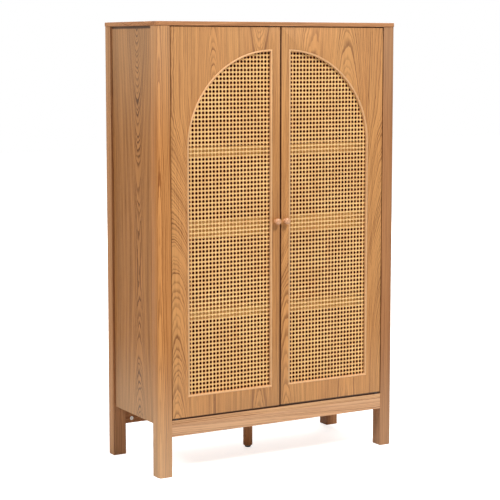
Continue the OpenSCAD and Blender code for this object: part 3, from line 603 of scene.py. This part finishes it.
def makeBeadMaterial(side):
    material, tree, shader = newMaterial("bead_wood_" + side)
    place = addNode(tree, "ShaderNodeTexCoord").outputs["Object"]
    # painted shade: the upright strips and the right arch are darker than the sill strips and the left
    # arch, for the way the light falls on them
    low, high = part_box(side + "_door_bead")
    height = addNode(tree, "ShaderNodeSeparateXYZ", {0: place}).outputs[2]
    spring = high.z - (high.x - low.x)
    arch = remap(tree, height, spring, spring + beadLook["archFade"])
    upright = remap(tree, height, *(low.z + rise for rise in beadLook["sillTop"]))
    upper = calc(tree, "MULTIPLY_ADD", arch, beadLook["archShade"][side] - beadLook["uprightShade"],
                 beadLook["uprightShade"] - 1.0)
    tone = calc(tree, "MULTIPLY_ADD", upright, upper, 1.0)
    stretched = addNode(tree, "ShaderNodeMapping", {"Vector": place, "Scale": (420, 420, 30)},
                        vector_type="POINT").outputs[0]
    streaks = cloud(tree, stretched, 1.0, 3.0, 0.6)
    slow = cloud(tree, place, 14.0, 2.0)
    darkness = calc(tree, "MULTIPLY_ADD", calc(tree, "SUBTRACT", streaks, 0.5), beadLook["streaks"],
                    calc(tree, "MULTIPLY", slow, beadLook["patches"]), clamp=True)
    colour = blendColours(tree, darkness, paint(*beadLook["light"]), paint(*beadLook["dark"]))
    colour = blendColours(tree, 1.0, colour, join(tree, tone, tone, tone), "MULTIPLY")
    tree.links.new(colour, shader.inputs["Base Color"])
    tree.links.new(remap(tree, streaks, 0.3, 0.7, 0.36, 0.5), shader.inputs["Roughness"])
    bump = addNode(tree, "ShaderNodeBump", {"Height": streaks, "Strength": 0.1, "Distance": 0.0003})
    tree.links.new(bump.outputs[0], shader.inputs["Normal"])
    return material


for side in ("left", "right"):
    makeBead(side, makeBeadMaterial(side))
print("beads done")


# Cane webbing: upright and level strands run in pairs and weave through each other. Single diagonals
# run both ways between the openings, over one set of pairs and under the other, and leave eight-sided
# openings.
caneLook = {
    "pitchX": 0.01228,
    "pitchZ": 0.01294,
    "hole": {"left": (-0.3218, 0.2815), "right": (0.0425, 0.2799)},   # middle of one opening
    "pairWide": 0.00204,
    "pairApart": 0.00220,      # from middle to middle
    "diagonalWide": 0.0017,
    "thick": 0.00036,
    "pairRise": 0.00018,
    "diagonalRise": 0.00058,
    "flatTops": 1.8,           # more keeps a diagonal level for longer where it crosses a pair
    "tuckedIn": 0.0064,        # how far it reaches behind the edge of the opening
    "reach": 1.7,              # half the length along which a strand is sampled
    "samples": 12001,
    "fewestSamples": 20,       # a shorter strand is left out
    "light": (255, 221, 150),
    "dark": (218, 160, 97),
    "base": 0.40,              # how dark the cane is before its tones are added
    "tones": 1.9,
    "fibres": 0.7,
    "patches": 0.5,
    "sheen": 0.3,
    "holeShade": (0.0037, 0.0059),   # painted shade round the openings: the strands are browner this near the middle of an opening
    "holeShadeColour": (180, 66, 0),
}


def insideOpening(x, z, side, grown):
    # the opening: a box below and a quarter circle on top, grown all round
    low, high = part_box(side + "_door_bead")
    radius = high.x - low.x
    x = x - low.x if side == "right" else high.x - x
    springHeight = high.z - radius
    inBox = (x > -grown) & (x < radius + grown) & (z > low.z - grown) & (z < high.z + grown)
    outOfArc = (z > springHeight) & (x > 0) & (np.hypot(x, z - springHeight) > radius + grown)
    return inBox & ~outOfArc


def clippedSpans(origin, direction, side):
    # where each straight strand enters and leaves the opening, found by sampling it finely
    samples = np.linspace(-caneLook["reach"], caneLook["reach"], caneLook["samples"])
    x = origin[:, None, 0] + direction[0] * samples
    z = origin[:, None, 1] + direction[1] * samples
    inside = insideOpening(x, z, side, caneLook["tuckedIn"])
    kept = inside.sum(1) > caneLook["fewestSamples"]
    first = samples[inside.argmax(1)]
    last = samples[inside.shape[1] - 1 - inside[:, ::-1].argmax(1)]
    return kept, first, last


def makeStrands(name, side, origin, direction, positions, heights, wide, material, seed):
    # Each strand is one profile carried along a straight line, with a height that follows the weave.
    # Its rings are pushed back to where the strand leaves the opening, and empty lengths are dropped.
    kept, first, last = clippedSpans(origin, direction, side)
    origin, positions, heights = origin[kept], positions[kept], heights[kept]
    first, last = first[kept][:, None], last[kept][:, None]
    placed = np.clip(positions, first, last)
    across = np.array([-direction[1], direction[0]])
    profileAcross = np.array([-0.5, -0.24, 0.24, 0.5]) * wide
    profileUp = np.array([-0.35, 0.5, 0.5, -0.35]) * caneLook["thick"]
    points = np.empty((*placed.shape, 4, 3))
    points[..., 0] = (origin[:, 0, None] + direction[0] * placed)[..., None] + across[0] * profileAcross
    points[..., 2] = (origin[:, 1, None] + direction[1] * placed)[..., None] + across[1] * profileAcross
    caneLow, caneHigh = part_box(side + "_door_cane")
    middle = (caneLow.y + caneHigh.y) / 2
    points[..., 1] = middle - (heights[..., None] + profileUp)
    rng = np.random.default_rng(seed)
    lane = rng.uniform(0, 40, len(placed))
    uv = np.empty((*placed.shape, 4, 2))
    uv[..., 0] = lane[:, None, None] + np.array([0.0, 0.3, 0.7, 1.0])
    uv[..., 1] = (placed + rng.uniform(0, 5, len(placed))[:, None])[..., None]
    strands, rings = placed.shape
    number = np.arange(strands * rings).reshape(strands, rings)
    real = (placed[:, 1:] - placed[:, :-1]) > 1e-6
    a, b = number[:, :-1][real], number[:, 1:][real]
    walls = [np.stack([4 * a + k, 4 * b + k, 4 * b + (k + 1) % 4, 4 * a + (k + 1) % 4], axis=1)
             for k in range(4)]
    startRing = number[np.arange(strands), real.argmax(1)]
    endRing = number[np.arange(strands), real.shape[1] - real[:, ::-1].argmax(1)]
    caps = [np.stack([4 * startRing + k for k in range(4)], axis=1),
            np.stack([4 * endRing + k for k in (3, 2, 1, 0)], axis=1)]
    faces = np.concatenate(walls + caps)
    used, faces = np.unique(faces.ravel(), return_inverse=True)
    faces = faces.reshape(-1, 4)
    points, uv = points.reshape(-1, 3)[used], uv.reshape(-1, 2)[used]
    return addSurface(name, points, orientOutwards(points, faces), side + "_door", material,
                      [side + "_door_cane"], uv=uv)


def orientOutwards(points, faces):
    # the signed volume inside the closed strands is negative where the faces point inwards
    a, b, c, d = (points[faces[:, k]] for k in range(4))
    centre = points.mean(0)
    volume = (np.einsum("ij,ij->i", a - centre, np.cross(b - centre, c - centre)).sum()
              + np.einsum("ij,ij->i", a - centre, np.cross(c - centre, d - centre)).sum())
    return faces if volume > 0 else faces[:, ::-1]


def makeCane(side, material):
    stepX, stepZ = caneLook["pitchX"], caneLook["pitchZ"]
    holeX, holeZ = caneLook["hole"][side]
    half = caneLook["pairApart"] / 2
    low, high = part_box(side + "_door_bead")
    columns = np.arange(math.floor((low.x - holeX) / stepX) - 1, math.ceil((high.x - holeX) / stepX) + 2)
    rows = np.arange(math.floor((low.z - holeZ) / stepZ) - 1, math.ceil((high.z - holeZ) / stepZ) + 2)
    rise = caneLook["pairRise"]
    seed = 11 if side == "left" else 12

    # upright pairs: over one level strand and under the next
    middles = holeX + (columns - 0.5) * stepX
    x = np.stack([middles - half, middles + half], axis=1).ravel()
    levels = holeZ + (rows - 0.5) * stepZ
    stops = (levels[:, None] + np.array([-half, 0.0, half, 0.5 * stepZ])).ravel()
    weave = np.tile(np.array([1.0, 0.0, -1.0, 0.0]) * rise, len(levels))
    turn = np.tile([1.0, -1.0], len(middles))
    origin = np.stack([x, np.zeros_like(x)], axis=1)
    makeStrands(side + "_cane_upright", side, origin, (0.0, 1.0), np.tile(stops, (len(x), 1)),
                turn[:, None] * weave, caneLook["pairWide"], material, seed)

    # level pairs, the other way at each crossing
    z = np.stack([levels - half, levels + half], axis=1).ravel()
    stops = (middles[:, None] + np.array([-half, 0.0, half, 0.5 * stepX])).ravel()
    weave = np.tile(np.array([-1.0, 0.0, 1.0, 0.0]) * rise, len(middles))
    turn = np.tile([1.0, -1.0], len(levels))
    origin = np.stack([np.zeros_like(z), z], axis=1)
    makeStrands(side + "_cane_level", side, origin, (1.0, 0.0), np.tile(stops, (len(z), 1)),
                turn[:, None] * weave, caneLook["pairWide"], material, seed + 2)

    # diagonals through the middles of the pairs; height is a flattened cosine of the way across
    for way, label in ((1.0, "rising"), (-1.0, "falling")):
        direction = np.array([stepX, way * stepZ]) / math.hypot(stepX, stepZ)
        lanes = np.arange(-len(rows) - 2, len(rows) + len(columns) + 2) + 0.5
        startX = holeX + columns[0] * stepX + lanes * stepX
        z0 = holeZ + (rows[0] if way > 0 else rows[-1]) * stepZ
        origin = np.stack([startX, np.full_like(startX, z0)], axis=1)
        run = np.arange(0, 6 * (len(rows) + 2)) / 6.0
        length = run * math.hypot(stepX, stepZ)
        phase = np.cos(2 * math.pi * (lanes[:, None] + run))
        flat = caneLook["flatTops"]
        height = -way * caneLook["diagonalRise"] * np.tanh(flat * phase) / math.tanh(flat)
        makeStrands(side + "_cane_" + label, side, origin, direction, np.tile(length, (len(lanes), 1)),
                    height, caneLook["diagonalWide"], material, seed + 4 + int(way))


def makeCaneMaterial():
    material, tree, shader = newMaterial("cane", **{"Specular IOR Level": caneLook["sheen"]})
    uv = addNode(tree, "ShaderNodeTexCoord").outputs["UV"]
    parts = addNode(tree, "ShaderNodeSeparateXYZ", {0: uv}).outputs
    lengthwise = join(tree, calc(tree, "MULTIPLY", parts[0], 5.0),
                      calc(tree, "MULTIPLY", parts[1], 26.0), 0.0)
    fibres = cloud(tree, lengthwise, 1.0, 3.0, 0.6)
    tones = cloud(tree, join(tree, calc(tree, "MULTIPLY", parts[0], 0.55),
                             calc(tree, "MULTIPLY", parts[1], 3.0), 0.0), 1.0, 3.0, 0.6)
    place = addNode(tree, "ShaderNodeTexCoord").outputs["Object"]
    patches = cloud(tree, place, 9.0, 2.0)
    # painted shade round the openings: how far this spot is from the middle of the nearest opening
    spot = addNode(tree, "ShaderNodeSeparateXYZ", {0: place}).outputs
    rightDoor = calc(tree, "GREATER_THAN", spot[0], 0.0)
    offsets = []
    for value, pitch, left, right in zip((spot[0], spot[2]), (caneLook["pitchX"], caneLook["pitchZ"]),
                                         caneLook["hole"]["left"], caneLook["hole"]["right"]):
        start = calc(tree, "MULTIPLY_ADD", rightDoor, right - left, left)
        steps = calc(tree, "MULTIPLY", calc(tree, "SUBTRACT", value, start), 1.0 / pitch)
        wrapped = calc(tree, "SUBTRACT", calc(tree, "FRACT", calc(tree, "ADD", steps, 0.5)), 0.5)
        offsets.append(calc(tree, "MULTIPLY", wrapped, pitch))
    squares = calc(tree, "ADD", calc(tree, "MULTIPLY", offsets[0], offsets[0]),
                   calc(tree, "MULTIPLY", offsets[1], offsets[1]))
    holeShade = remap(tree, calc(tree, "SQRT", squares), *caneLook["holeShade"], 1.0, 0.0)
    darkness = caneLook["base"]
    for value, strength in ((tones, "tones"), (fibres, "fibres"), (patches, "patches")):
        centred = calc(tree, "SUBTRACT", value, 0.5)
        darkness = calc(tree, "MULTIPLY_ADD", centred, caneLook[strength], darkness,
                        clamp=strength == "patches")
    colour = blendColours(tree, darkness, paint(*caneLook["light"]), paint(*caneLook["dark"]))
    tree.links.new(blendColours(tree, holeShade, colour, paint(*caneLook["holeShadeColour"])),
                   shader.inputs["Base Color"])
    tree.links.new(remap(tree, fibres, 0.3, 0.7, 0.34, 0.5), shader.inputs["Roughness"])
    bump = addNode(tree, "ShaderNodeBump", {"Height": fibres, "Strength": 0.15, "Distance": 0.0003})
    tree.links.new(bump.outputs[0], shader.inputs["Normal"])
    return material


caneMaterial = makeCaneMaterial()
for side in ("left", "right"):
    makeCane(side, caneMaterial)
print("cane woven")


# turned knobs
knobLook = {
    "neck": 0.0054,
    "flare": 0.0012,       # the neck widens by this much at the door
    "flareLength": 0.0022,
    "headLength": 0.0150,
    "fullness": 2.3,       # 2 makes the head an ellipse, more makes it fuller
    "sharpness": 8.0,      # of the corner between neck and head
    "headSteps": 40,
    "neckSteps": 8,
    "around": 48,
    "seed": {"left": 50.0, "right": 57.0},
    "wood": {"light": (217, 164, 122), "dark": (168, 110, 72), "ringGap": 0.0026, "hues": 0.0,
             "sheen": 0.5, "roughness": (0.30, 0.40), "warp": 0.001, "ragged": 0.0006,
             "leaves": ({"heart": 0.05, "near": -0.75},)},
}


def makeKnob(side, material):
    # radius along the axis: a soft maximum of a neck that flares at the door and a ball-like head
    low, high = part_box(side + "_knob")
    length, radius = high.y - low.y, (high.x - low.x) / 2
    headHalf = knobLook["headLength"] / 2
    turn = np.linspace(0.0, math.pi, knobLook["headSteps"])
    alongHead = (length - headHalf) - headHalf * np.cos(turn)
    alongNeck = np.linspace(0.0, length - 2 * headHalf, knobLook["neckSteps"], endpoint=False)
    along = np.concatenate([alongNeck, alongHead])
    inHead = np.clip((along - (length - headHalf)) / headHalf, -1, 1)
    head = radius * (1 - np.abs(inHead) ** knobLook["fullness"]) ** 0.5
    neck = knobLook["neck"] + knobLook["flare"] * np.exp(-along / knobLook["flareLength"])
    neck = neck * (along < length - headHalf)
    sharpness = knobLook["sharpness"]
    shape = (head ** sharpness + neck ** sharpness) ** (1 / sharpness)
    shape = np.minimum(shape, radius)
    around = np.linspace(0, 2 * math.pi, knobLook["around"], endpoint=False)
    middleX, middleZ = (low.x + high.x) / 2, (low.z + high.z) / 2
    rings = len(along) - 1
    points = np.empty((rings, len(around), 3))
    points[..., 0] = middleX + shape[:rings, None] * np.cos(around)
    points[..., 1] = high.y - along[:rings, None]
    points[..., 2] = middleZ + shape[:rings, None] * np.sin(around)
    tip = np.array([[middleX, low.y, middleZ], [middleX, high.y, middleZ]])
    allPoints = np.concatenate([points.reshape(-1, 3), tip])
    faces = gridFaces(rings, len(around), closedColumns=True)
    one = np.arange(len(around))
    two = (one + 1) % len(around)
    last = (rings - 1) * len(around)
    tipIndex = rings * len(around)
    # the two ends are closed by fans of triangles
    front = np.stack([last + one, np.full_like(one, tipIndex), last + two], axis=1)
    back = np.stack([two, np.full_like(one, tipIndex + 1), one], axis=1)
    triangles = np.concatenate([front, back])
    mesh = bpy.data.meshes.new(side + "_knob_turned")
    mesh.from_pydata(allPoints.tolist(), [], faces.tolist() + triangles.tolist())
    form = bmesh.new()
    form.from_mesh(mesh)
    bmesh.ops.recalc_face_normals(form, faces=form.faces)
    form.to_mesh(mesh)
    form.free()
    mesh.shade_smooth()
    mesh.set_sharp_from_angle(angle=math.radians(50))
    mesh.materials.append(material)
    piece = bpy.data.objects.new(side + "_knob_turned", mesh)
    scene.collection.objects.link(piece)
    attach(piece, side + "_door")
    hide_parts(side + "_knob")


for side in ("left", "right"):
    knobWood = makeWood("wood_" + side + "_knob", grain="y", seed=knobLook["seed"][side],
                        **knobLook["wood"])
    makeKnob(side, knobWood)
print("knobs turned")


# floor, light and camera
studio = {
    "floorHalf": 14.0,
    "floor": (232, 232, 230),
    "floorWhite": (0.76, 1.0),   # extra brightness near the object and far off, seen but not lighting
    "floorFade": (1.2, 4.0),
    "surround": 0.08,
    "lamps": {                # place, aim, size in metres, watts
        "key": ((1.5, -7.3, 9.2), (0.0, 0.0, 0.7), 2.4, 1010.0),
        "left": ((-5.0, -1.0, 5.2), (0.0, 0.0, 0.7), 1.8, 245.0),
        "back": ((3.0, 4.6, 3.8), (0.0, 0.0, 0.7), 4.0, 290.0),
    },
}


def seenDirectly(tree):
    # 1 for the camera and for rays in reflections and glass, 0 for light that falls on things
    rays = addNode(tree, "ShaderNodeLightPath").outputs
    direct = calc(tree, "MAXIMUM", rays["Is Camera Ray"], rays["Is Glossy Ray"])
    return calc(tree, "MAXIMUM", direct, rays["Is Transmission Ray"])


half = studio["floorHalf"]
floorMesh = bpy.data.meshes.new("studio_floor")
floorMesh.from_pydata([(-half, -half, 0), (half, -half, 0), (half, half, 0), (-half, half, 0)], [],
                      [(0, 1, 2, 3)])
floorPiece = bpy.data.objects.new("studio_floor", floorMesh)
scene.collection.objects.link(floorPiece)
floorMaterial, tree, shader = newMaterial("studio_floor", Roughness=0.9)
shader.inputs["Base Color"].default_value = paint(*studio["floor"])
shader.inputs["Specular IOR Level"].default_value = 0.0
shader.inputs["Emission Color"].default_value = (1.0, 1.0, 1.0, 1.0)
floorPlace = addNode(tree, "ShaderNodeTexCoord").outputs["Object"]
fromObject = addNode(tree, "ShaderNodeVectorMath", {0: floorPlace}, operation="LENGTH").outputs["Value"]
white = remap(tree, fromObject, *studio["floorFade"], *studio["floorWhite"])
tree.links.new(calc(tree, "MULTIPLY", seenDirectly(tree), white), shader.inputs["Emission Strength"])
floorMesh.materials.append(floorMaterial)

world = bpy.data.worlds.new("studio")
scene.world = world
world.use_nodes = True
tree = world.node_tree
background = tree.nodes["Background"]
background.inputs["Color"].default_value = (1.0, 1.0, 1.0, 1.0)
strength = calc(tree, "MULTIPLY_ADD", seenDirectly(tree), 1.0 - studio["surround"], studio["surround"])
tree.links.new(strength, background.inputs["Strength"])

for lampName, (place, aim, size, watts) in studio["lamps"].items():
    light = bpy.data.lights.new(lampName, "AREA")
    light.energy = watts
    light.size = size
    lamp = bpy.data.objects.new(lampName, light)
    scene.collection.objects.link(lamp)
    lamp.location = place
    lamp.rotation_euler = (Vector(aim) - Vector(place)).to_track_quat("-Z", "Y").to_euler()

view = {
    "place": (-2.5729, -4.4074, 1.3242),
    "turn": 30.18,      # degrees to the right of the way from front to back
    "tilt": 6.465,      # degrees downwards
    "lens": 113.42,
    "shiftY": -0.05,
}
cameraData = bpy.data.cameras.new("camera")
cameraData.sensor_width = 36.0
cameraData.lens = view["lens"]
cameraData.shift_y = view["shiftY"]
cameraData.clip_end = 100.0
camera = bpy.data.objects.new("camera", cameraData)
scene.collection.objects.link(camera)
camera.location = view["place"]
camera.rotation_euler = (math.radians(90 - view["tilt"]), 0.0, math.radians(-view["turn"]))
scene.camera = camera
scene.view_settings.view_transform = "Standard"
print("studio ready")
